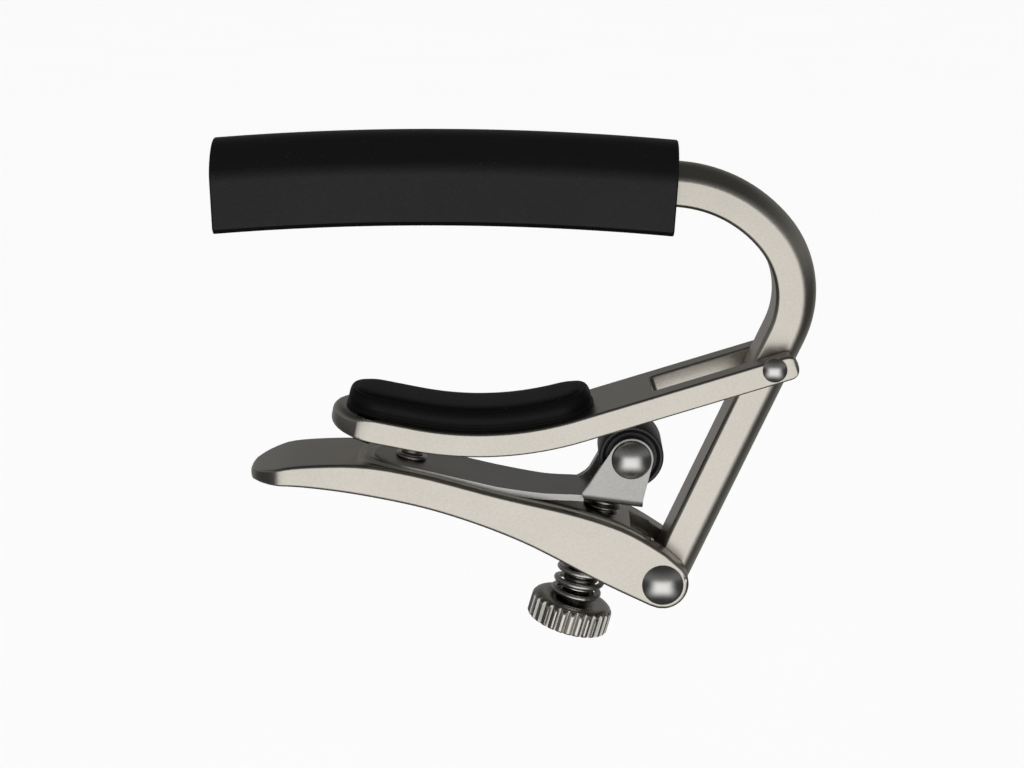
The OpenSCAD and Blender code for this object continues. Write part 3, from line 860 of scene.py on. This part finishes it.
class CAPO_OT_lever(Operator):
    """Tapering lever with a chamfered rim, a recess for the leaf and a fork"""

    bl_idname = "capo.lever"
    bl_label = "Lever"

    def execute(self, context):
        sizes = context.scene.capo_sizes
        tip = [TIP_X + d for d in (0, 0.03, 0.12, 0.3, 0.6, 1.0, 1.5, 2.1, 2.8, 3.5, 4.3)]
        round_end = [RECESS_LEFT + RECESS_HALF * (1 - cosine(a)) for a in range(0, 91, 9)]
        end = [LEVER_END_R * sine(a) for a in (7, 16, 25, 34, 43, 52, 61, 70, 78, 85, 90)]
        columns = (tip + spread(TIP_X + 5.2, RECESS_LEFT - 0.9, 9) + round_end
                   + spread(round_end[-1] + 1.2, FORK_X, 22) + [-2.9, RECESS_RIGHT, -0.5] + end)
        rows = [-LEVER_W / 2, -RECESS_HALF, -FORK_HALF, 0, FORK_HALF, RECESS_HALF, LEVER_W / 2]
        bm = bmesh.new()
        for v, x, row in grid(bm, columns, rows):
            y = row / (LEVER_W / 2) * lever_half(x)
            if abs(row) < LEVER_W / 2 and x < RECESS_LEFT + RECESS_HALF:
                if x >= RECESS_LEFT:
                    y = recess_half(x) * row / RECESS_HALF
                else:
                    y *= 1 - min(max((x - RECESS_LEFT + 8) / 8, 0), 1)
            v.co = (x, y, 0)
        fork = [f for f in bm.faces if f.calc_center_median().x > FORK_X
                and abs(f.calc_center_median().y) < FORK_HALF]
        bmesh.ops.delete(bm, geom=fork, context="FACES")
        floor = [f for f in bm.faces
                 if RECESS_LEFT < f.calc_center_median().x < RECESS_RIGHT
                 and abs(f.calc_center_median().y) < recess_half(f.calc_center_median().x) - 0.01]
        sunk = set(thicken(bm, (0, 0, -1), floor))
        open_walls = {e.link_faces[0] for e in bm.edges if len(e.link_faces) == 1
                      and not any(v in sunk for v in e.verts)
                      and any(v in sunk for v in e.link_faces[0].verts)}
        bmesh.ops.delete(bm, geom=list(open_walls), context="FACES_ONLY")
        bmesh.ops.delete(bm, geom=[e for e in bm.edges if not e.link_faces], context="EDGES")
        under = set(thicken(bm, (0, 0, -1)))
        for v in bm.verts:
            line = LEVER_UNDER_LINE if v in under else LEVER_TOP_LINE
            v.co.z = height_on(line, v.co.x) - (RECESS_D if v in sunk else 0)
        bmesh.ops.remove_doubles(bm, verts=bm.verts, dist=0.003)
        bmesh.ops.recalc_face_normals(bm, faces=bm.faces)
        inner = [e for e in bm.edges if len(e.link_faces) == 2 and min(v.co.x for v in e.verts) > -0.1
                 and all(abs(f.normal.y) > 0.9999 for f in e.link_faces)]
        bmesh.ops.dissolve_edges(bm, edges=inner, use_verts=False)

        def share(a, b):
            fade = min(max((min(a.x, b.x) - TIP_X - 0.6) / 3, 0), 1)
            if all(abs(abs(v.y) - lever_half(v.x)) < 0.02 for v in (a, b)):
                if all(v.z > height_on(LEVER_TOP_LINE, v.x) - 0.05 for v in (a, b)):
                    return fade * sizes.lever_chamfer / LEVER_ROUNDING
                return fade if abs(a.x - b.x) > 0.001 or abs(a.y - b.y) < 0.001 else 0.0
            return 0.25 if max(abs(a.y), abs(b.y)) < 6 and min(a.x, b.x) > -50 else 0.0

        weigh_edges(bm, share)
        bmesh.ops.translate(bm, vec=LEVER_PIVOT, verts=bm.verts)
        piece = mesh_object("lever_body", bm)
        round_weighed(piece, LEVER_ROUNDING, 4)
        bored(piece, SCREW_TIP - SPRING_SEAT * SCREW_UP, SCREW_UP, SPOT_FACE_R, SPOT_FACE_DEPTH)
        finish_piece(piece, "Satin nickel", ["lever"], "lever")

        boss = bmesh.new()
        turned(boss, [(0, BOSS_TOP), (BOSS_R - 0.1, BOSS_TOP), (BOSS_R, BOSS_TOP - 0.1),
                      (BOSS_R, BOSS_FOOT), (0, BOSS_FOOT)], 48)
        stand(boss, LEAF_RIVET - Vector((0, 0, BOSS_DROP)), LEAF_UP)
        finish_piece(mesh_object("lever_boss", boss), "Satin nickel", [], "lever")
        return {"FINISHED"}


# ---- Roller bracket ------------------------------------------------------------

LEAF_LINE = spline([(-36.9, 16), (-32.5, 15.3), (-24.8, 13.5), (-20.9, 12.6), (-15.8, 11.75),
                    (-12.9, 11.55), (-10.2, 11.4), (-2.6, 10.4)])
LEAF_TAIL = -37.1
LEAF_TAIL_R = 4.9
LEAF_WIDTH = [(-37.1, 4.9), (-21, 4.9), (-14, 4.35), (-10, 4.3)]
CRADLE_LEFT, CRADLE_RIGHT = -10.2, -2.6
EAR_R = 2.8
EAR_OUT = 4.6
EAR_COLUMNS = 14
EAR_LEAN_BACK, EAR_LEAN_FRONT = 1.7, 0.2
FOLD_R = 0.8


class CAPO_OT_bracket(Operator):
    """Spring leaf that ends in a folded cradle round the roller"""

    bl_idname = "capo.bracket"
    bl_label = "Roller bracket"

    def execute(self, context):
        sheet = context.scene.capo_sizes.sheet
        bm = bmesh.new()
        self.leaf(bm, sheet)
        self.cradle(bm, sheet)
        bmesh.ops.translate(bm, vec=LEVER_PIVOT, verts=bm.verts)
        piece = mesh_object("leaf_bracket", bm)
        wall = piece.modifiers.new("Sheet", "SOLIDIFY")
        wall.thickness = sheet * MM
        wall.offset = 0
        wall.use_even_offset = True
        edge = piece.modifiers.new("Sheared edge", "BEVEL")
        edge.width = 0.12 * MM
        edge.segments = 2
        edge.limit_method = "ANGLE"
        edge.angle_limit = math.radians(55)
        finish_piece(piece, "Brushed leaf", ["roller_bracket"], None)
        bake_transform(piece)
        return {"FINISHED"}

    def leaf(self, bm, sheet):
        """The leaf, as a flat grid that takes its plan and then its curve."""
        hub = LEAF_TAIL + LEAF_TAIL_R
        columns = ([hub - LEAF_TAIL_R * cosine(a) for a in range(0, 91, 9)]
                   + spread(hub + 1.0, CRADLE_LEFT, 24))
        for v, x, row in grid(bm, columns, [-1, -0.79, -0.4, 0, 0.4, 0.79, 1]):
            half = height_on(LEAF_WIDTH, x)
            if x < hub:
                half = math.sqrt(max(0.0, LEAF_TAIL_R ** 2 - (hub - x) ** 2))
            v.co = (x, row * half, height_on(LEAF_LINE, x) - sheet / 2)

    def cradle(self, bm, sheet):
        """The U round the roller: a floor, two folds and two ears with round tops."""
        side = EAR_OUT - sheet / 2
        floor_half = side - FOLD_R
        axis = (ROLLER_AXIS - LEVER_PIVOT).x, (ROLLER_AXIS - LEVER_PIVOT).z
        top = arc(axis, EAR_R, 157, 0, EAR_COLUMNS)
        angles = (18, 36, 54, 72)
        rows = ([("ear", -1, t) for t in spread(1, 0, 12)] + [("fold", -1, a) for a in angles[::-1]]
                + [("floor", k, 0) for k in spread(-1, 1, 6)] + [("fold", 1, a) for a in angles]
                + [("ear", 1, t) for t in spread(0, 1, 12)])

        for v, column, (kind, which, amount) in grid(bm, range(EAR_COLUMNS + 1), rows):
            from_right = 1 - column / EAR_COLUMNS
            lean = (EAR_LEAN_BACK if which > 0 else EAR_LEAN_FRONT) * from_right ** 5
            rise = FOLD_R * (1 - from_right ** 4) if which > 0 else FOLD_R
            x = CRADLE_LEFT + (CRADLE_RIGHT - CRADLE_LEFT) * column / EAR_COLUMNS
            z = height_on(LEAF_LINE, x) - sheet / 2
            if kind == "floor":
                v.co = (x, which * floor_half, z)
            elif kind == "fold":
                v.co = (x - lean * (amount / 90) ** 2, which * (floor_half + FOLD_R * sine(amount)),
                        z + rise * (1 - cosine(amount)))
            else:
                ear_x, ear_z = top[column]
                v.co = (x + (ear_x - x) * amount - lean * max(0.0, 1 - amount / 0.26) ** 2,
                        which * side, z + rise + (ear_z - z - rise) * amount)


# ---- Rivets and roller ---------------------------------------------------------

ROLLER_R = 4.15
DOME_LIP = 0.12
DOME_STEPS = 12


def domed(r, height):
    """Profile of a low dome over a short straight lip, from its top to its base."""
    rise = height - DOME_LIP
    ball = (r * r + rise ** 2) / (2 * rise)
    cap = [(ball * math.sin(a), height - ball + ball * math.cos(a))
           for a in spread(0, math.asin(min(1.0, r / ball)), DOME_STEPS)]
    return cap + [(r, 0.0), (r - 0.1, -0.05)]


class CAPO_OT_rivets(Operator):
    """Domed pins of the arm, the lever and the roller, and the leaf's tubular rivet"""

    bl_idname = "capo.rivets"
    bl_label = "Rivets"

    def execute(self, context):
        for name, node, at, body, shank, head, height, out in (
            ("arm_pin", "arm_rivet", ARM_PIVOT, "neck_arm", 1.1, 1.55, 0.65, ARM_W / 2),
            ("lever_pin", "lever_rivet", LEVER_PIVOT, "lever", 1.15, 2.65, 1.1, LEVER_W / 2),
            ("roller_pin", "roller_axle", ROLLER_AXIS, "roller_bracket", 1.5, 2.55, 1.15, EAR_OUT),
        ):
            bm = bmesh.new()
            half = [(r, z + out) for r, z in domed(head, height)] + [(shank, out - 0.05)]
            turned(bm, half + [(r, -z) for r, z in reversed(half)], 64)
            stand(bm, at, FRONT)
            finish_piece(mesh_object(name, bm), "Polished steel", [node], body, angle=50)
        bm = bmesh.new()
        ring = arc((1.68, 0.18), 0.33, -40, 172, 14)
        turned(bm, [(1.3, -1.4), (1.3, 0.0), (1.8, 0.0)] + ring
               + [(1.25, 0.0), (1.1, -0.7), (0, -0.8)], 56)
        stand(bm, LEAF_RIVET + 0.4 * LEAF_UP, LEAF_UP)
        finish_piece(mesh_object("leaf_pin", bm), "Polished steel", ["bracket_rivet"], "lever", angle=50)
        return {"FINISHED"}


class CAPO_OT_roller(Operator):
    """Turned plastic roller with a rim, a groove and a raised ring on each face"""

    bl_idname = "capo.roller"
    bl_label = "Roller"

    def execute(self, context):
        face = [(1.58, 3.2), (2.6, 3.2), (2.75, 3.35), (3.25, 3.35), (3.35, 3.2), (3.5, 3.1),
                (3.6, 3.3), (3.7, 3.58), (3.95, 3.6), (ROLLER_R - 0.06, 3.5), (ROLLER_R, 3.35)]
        bm = bmesh.new()
        back = [(a, -b) for a, b in reversed(face)]
        turned(bm, [(1.56, 3.1)] + face + back + [(1.56, -3.1), (1.56, 3.1)], 88)
        stand(bm, ROLLER_AXIS, FRONT)
        finish_piece(mesh_object("roller_wheel", bm), "Turned plastic", ["roller"], "roller",
                     angle=30, even=False)
        return {"FINISHED"}


# ---- Screw and spring ----------------------------------------------------------

SCREW_R = 2.41
TIP_GAP = 0.12
KNOB_R = 5.4
KNOB_TOP, KNOB_EDGE, KNOB_BOTTOM = 14.5, 15.6, 18.0
SHOULDER_R = 1.4
THREAD_STEPS = 40
SPRING_R = 3.3
SPRING_STEPS = 36


class CAPO_OT_screw(Operator):
    """Adjusting screw: a rolled thread and a knurled knob with a domed shoulder"""

    bl_idname = "capo.screw"
    bl_label = "Adjusting screw"

    def execute(self, context):
        sizes = context.scene.capo_sizes
        bm = bmesh.new()
        self.thread(bm, sizes.thread_pitch)
        self.knob(bm, sizes.knob_teeth, sizes.knurl_depth)
        stand(bm, SCREW_TIP, SCREW_UP)
        finish_piece(mesh_object("thumb_screw", bm), "Screw nickel", ["adjusting_screw"],
                     "adjusting_screw", angle=28, even=False)
        return {"FINISHED"}

    def thread(self, bm, pitch):
        """A core, and a ridge wound round it."""
        root = SCREW_R - 0.54 * pitch
        turned(bm, [(0, -TIP_GAP), (root - 0.25, -TIP_GAP), (root, -TIP_GAP - 0.3),
                    (root, -KNOB_TOP - 0.5), (0, -KNOB_TOP - 0.5)], THREAD_STEPS)
        turns = int((KNOB_TOP - TIP_GAP - 0.6) / pitch)
        low = -TIP_GAP - 0.5 - turns * pitch - 0.42 * pitch
        ridge = [(root - 0.15, 0), (root, 0.04), (SCREW_R, 0.42 * pitch), (SCREW_R, 0.54 * pitch),
                 (root, 0.92 * pitch), (root - 0.15, 0.95 * pitch)]
        face = bm.faces.new([bm.verts.new((r, 0, low + z)) for r, z in ridge])
        bmesh.ops.spin(bm, geom=[face], cent=(0, 0, 0), axis=(0, 0, 1),
                       dvec=(0, 0, pitch / THREAD_STEPS), angle=2 * math.pi * turns,
                       steps=THREAD_STEPS * turns)

    def knob(self, bm, teeth, depth):
        """A lathe shape cut back wherever a groove of the knurl runs deeper."""
        top, edge, bottom = -KNOB_TOP, -KNOB_EDGE, -KNOB_BOTTOM
        shoulder = [(KNOB_R - SHOULDER_R * (1 - sine(a)), edge + (top - edge) * cosine(a))
                    for a in range(0, 91, 9)]
        profile = ([(SCREW_R - 0.5, top), (3.2, top)] + shoulder
                   + [(KNOB_R, edge + (bottom - edge) * k) for k in (0.15, 0.3, 0.5, 0.7, 0.85)]
                   + [(KNOB_R, bottom + 0.25), (KNOB_R - 0.1, bottom + 0.1), (KNOB_R - 0.3, bottom),
                      (3.4, bottom), (3.1, bottom + 0.25), (0, bottom + 0.3)])
        first = len(bm.verts)
        turned(bm, profile, teeth * 10)
        bm.verts.ensure_lookup_table()
        for v in bm.verts[first:]:
            r = math.hypot(v.co.x, v.co.y)
            phase = (math.atan2(v.co.y, v.co.x) / (2 * math.pi) * teeth) % 1.0
            across = abs(phase - 0.5) * 2
            groove = KNOB_R - depth * max(0.0, 1 - (across / 0.62) ** 2) ** 0.75
            if r > groove:
                v.co.x *= groove / r
                v.co.y *= groove / r


class CAPO_OT_spring(Operator):
    """Coil spring between the lever and the knob, with closed end coils"""

    bl_idname = "capo.spring"
    bl_label = "Screw spring"

    def execute(self, context):
        wire = context.scene.capo_sizes.wire
        coil = SPRING_R - wire
        low, high = -KNOB_TOP + wire + 0.03, -SPRING_SEAT - wire - 0.03
        closed = 2 * wire * 0.75
        bm = bmesh.new()
        circle = bmesh.ops.create_circle(bm, cap_ends=True, segments=12, radius=wire,
                                         matrix=Matrix.Translation((coil, 0, low))
                                         @ Matrix.Rotation(math.pi / 2, 4, "X"))
        bmesh.ops.rotate(bm, cent=(0, 0, 0), matrix=Matrix.Rotation(math.radians(-70), 3, "Z"),
                         verts=circle["verts"])
        end = bm.faces[:]
        for turns, rise in ((0.75, closed), (2.5, high - low - 2 * closed), (0.75, closed)):
            steps = int(turns * SPRING_STEPS)
            result = bmesh.ops.spin(bm, geom=end, cent=(0, 0, 0), axis=(0, 0, 1), steps=steps,
                                    angle=2 * math.pi * turns, dvec=(0, 0, rise / steps))
            end = [g for g in result["geom_last"] if isinstance(g, bmesh.types.BMFace)]
        stand(bm, SCREW_TIP, SCREW_UP)
        piece = finish_piece(mesh_object("coil_spring", bm), "Drawn wire", ["screw_spring"], None,
                             angle=60, even=False)
        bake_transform(piece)
        return {"FINISHED"}


# ---- Stage ---------------------------------------------------------------------

CAMERA_TARGET = Vector((0.0097, 0, -0.02175))


class CAPO_OT_stage(Operator):
    """Pale floor, soft studio light and the camera"""

    bl_idname = "capo.stage"
    bl_label = "Stage"

    def execute(self, context):
        studio = context.scene.capo_studio
        self.camera(context, studio)
        self.floor(studio)
        self.lamps(studio)
        self.room(context, studio)
        context.scene.view_settings.view_transform = "Standard"
        return {"FINISHED"}

    def camera(self, context, studio):
        a, e = studio.azimuth, studio.elevation
        back = Vector((sine(a) * cosine(e), -cosine(a) * cosine(e), sine(e)))
        data = bpy.data.cameras.new("Camera")
        data.lens = studio.lens
        data.clip_start = 0.01
        camera = bpy.data.objects.new("Camera", data)
        camera.location = CAMERA_TARGET + studio.distance * back
        camera.rotation_euler = back.to_track_quat("Z", "Y").to_euler()
        context.scene.collection.objects.link(camera)
        context.scene.camera = camera

    def floor(self, studio):
        bm = bmesh.new()
        bmesh.ops.create_circle(bm, cap_ends=True, segments=64, radius=15000,
                                matrix=Matrix.Translation((0, 0, -studio.floor_drop / MM)))
        floor = mesh_object("floor", bm)
        tree, inputs = shader("Floor paper", Roughness=0.9, Specular_IOR_Level=0.1)
        grain = use_group(tree, "Grain", Scale=900.0, Patch_scale=6.0, Contrast=0.02)
        tree.links.new(scaled(tree, (0.9, 0.9, 0.9), grain["Tone"]), inputs["Base Color"])
        floor.data.materials.append(bpy.data.materials["Floor paper"])
        floor.visible_glossy = False

    def lamps(self, studio):
        data = bpy.data.lights.new("Overhead", "SUN")
        data.energy = 3.5 * studio.sky
        data.angle = math.radians(120)
        lamp = bpy.data.objects.new("Overhead", data)
        lamp.rotation_euler = (math.radians(25), 0, 0)
        lamp.visible_glossy = False
        bpy.context.scene.collection.objects.link(lamp)

    def room(self, context, studio):
        """What the metal mirrors: white cards low at front and back, a dim room above."""
        world = bpy.data.worlds.new("Studio")
        world.use_nodes = True
        context.scene.world = world
        tree = world.node_tree
        way = add(tree, "TexCoord").outputs["Generated"]
        axes = add(tree, "SeparateXYZ", Vector=way).outputs

        def ramp(value, low, high):
            node = add(tree, "MapRange", Value=value, i1=low, i2=high)
            node.interpolation_type = "SMOOTHSTEP"
            return node.outputs[0]

        beside = math_node(tree, "ABSOLUTE", axes["X"])
        middle = ramp(beside, 0.78, 0.3)
        below = times(tree, ramp(axes["Z"], 0.18, -0.12), ramp(axes["Z"], -0.93, -0.5))
        front = times(tree, middle, below, ramp(axes["Y"], 0.0, -0.25), 1.12)
        back = times(tree, ramp(beside, 0.9, 0.5), below, ramp(axes["Y"], 0.0, 0.3), 0.2)
        horizon = times(tree, ramp(axes["Z"], 0.75, 0.2), ramp(axes["Z"], -0.1, 0.1), 0.13)
        light = plus(tree, front, back, horizon, 0.045)
        seen = add(tree, "LightPath").outputs["Is Camera Ray"]
        shown = blended(tree, light, (0.93, 0.93, 0.93, 1), seen)
        shade = tree.nodes["Background"]
        tree.links.new(shown, shade.inputs["Color"])
        shade.inputs["Strength"].default_value = studio.sky


# ---- Panel and registration ----------------------------------------------------

PIECES = (CAPO_OT_stage, CAPO_OT_bar, CAPO_OT_sleeve, CAPO_OT_arm, CAPO_OT_pad, CAPO_OT_lever,
          CAPO_OT_bracket, CAPO_OT_rivets, CAPO_OT_roller, CAPO_OT_screw, CAPO_OT_spring)
SETTINGS = {"capo_sizes": CapoSizes, "capo_finish": CapoFinish, "capo_studio": CapoStudio}


class CAPO_PT_panel(Panel):
    """Sizes, finishes and pieces of the capo"""

    bl_label = "Guitar capo"
    bl_idname = "CAPO_PT_panel"
    bl_space_type = "VIEW_3D"
    bl_region_type = "UI"
    bl_category = "Capo"

    def draw(self, context):
        for name, kind in SETTINGS.items():
            box = self.layout.box()
            for key in kind.__annotations__:
                box.prop(getattr(context.scene, name), key)
        for piece in PIECES:
            self.layout.operator(piece.bl_idname)


CLASSES = (*SETTINGS.values(), *PIECES, CAPO_PT_panel)


def register():
    for kind in CLASSES:
        bpy.utils.register_class(kind)
    for name, kind in SETTINGS.items():
        setattr(bpy.types.Scene, name, PointerProperty(type=kind))


def unregister():
    for name in SETTINGS:
        delattr(bpy.types.Scene, name)
    for kind in reversed(CLASSES):
        bpy.utils.unregister_class(kind)


def main():
    register()
    finish_named("Satin nickel")
    for piece in PIECES:
        group_name, operator_name = piece.bl_idname.split(".")
        result = getattr(getattr(bpy.ops, group_name), operator_name)()
        if result != {"FINISHED"}:
            raise RuntimeError(f"{piece.bl_label} could not be built")


if __name__ == "__main__":
    main()
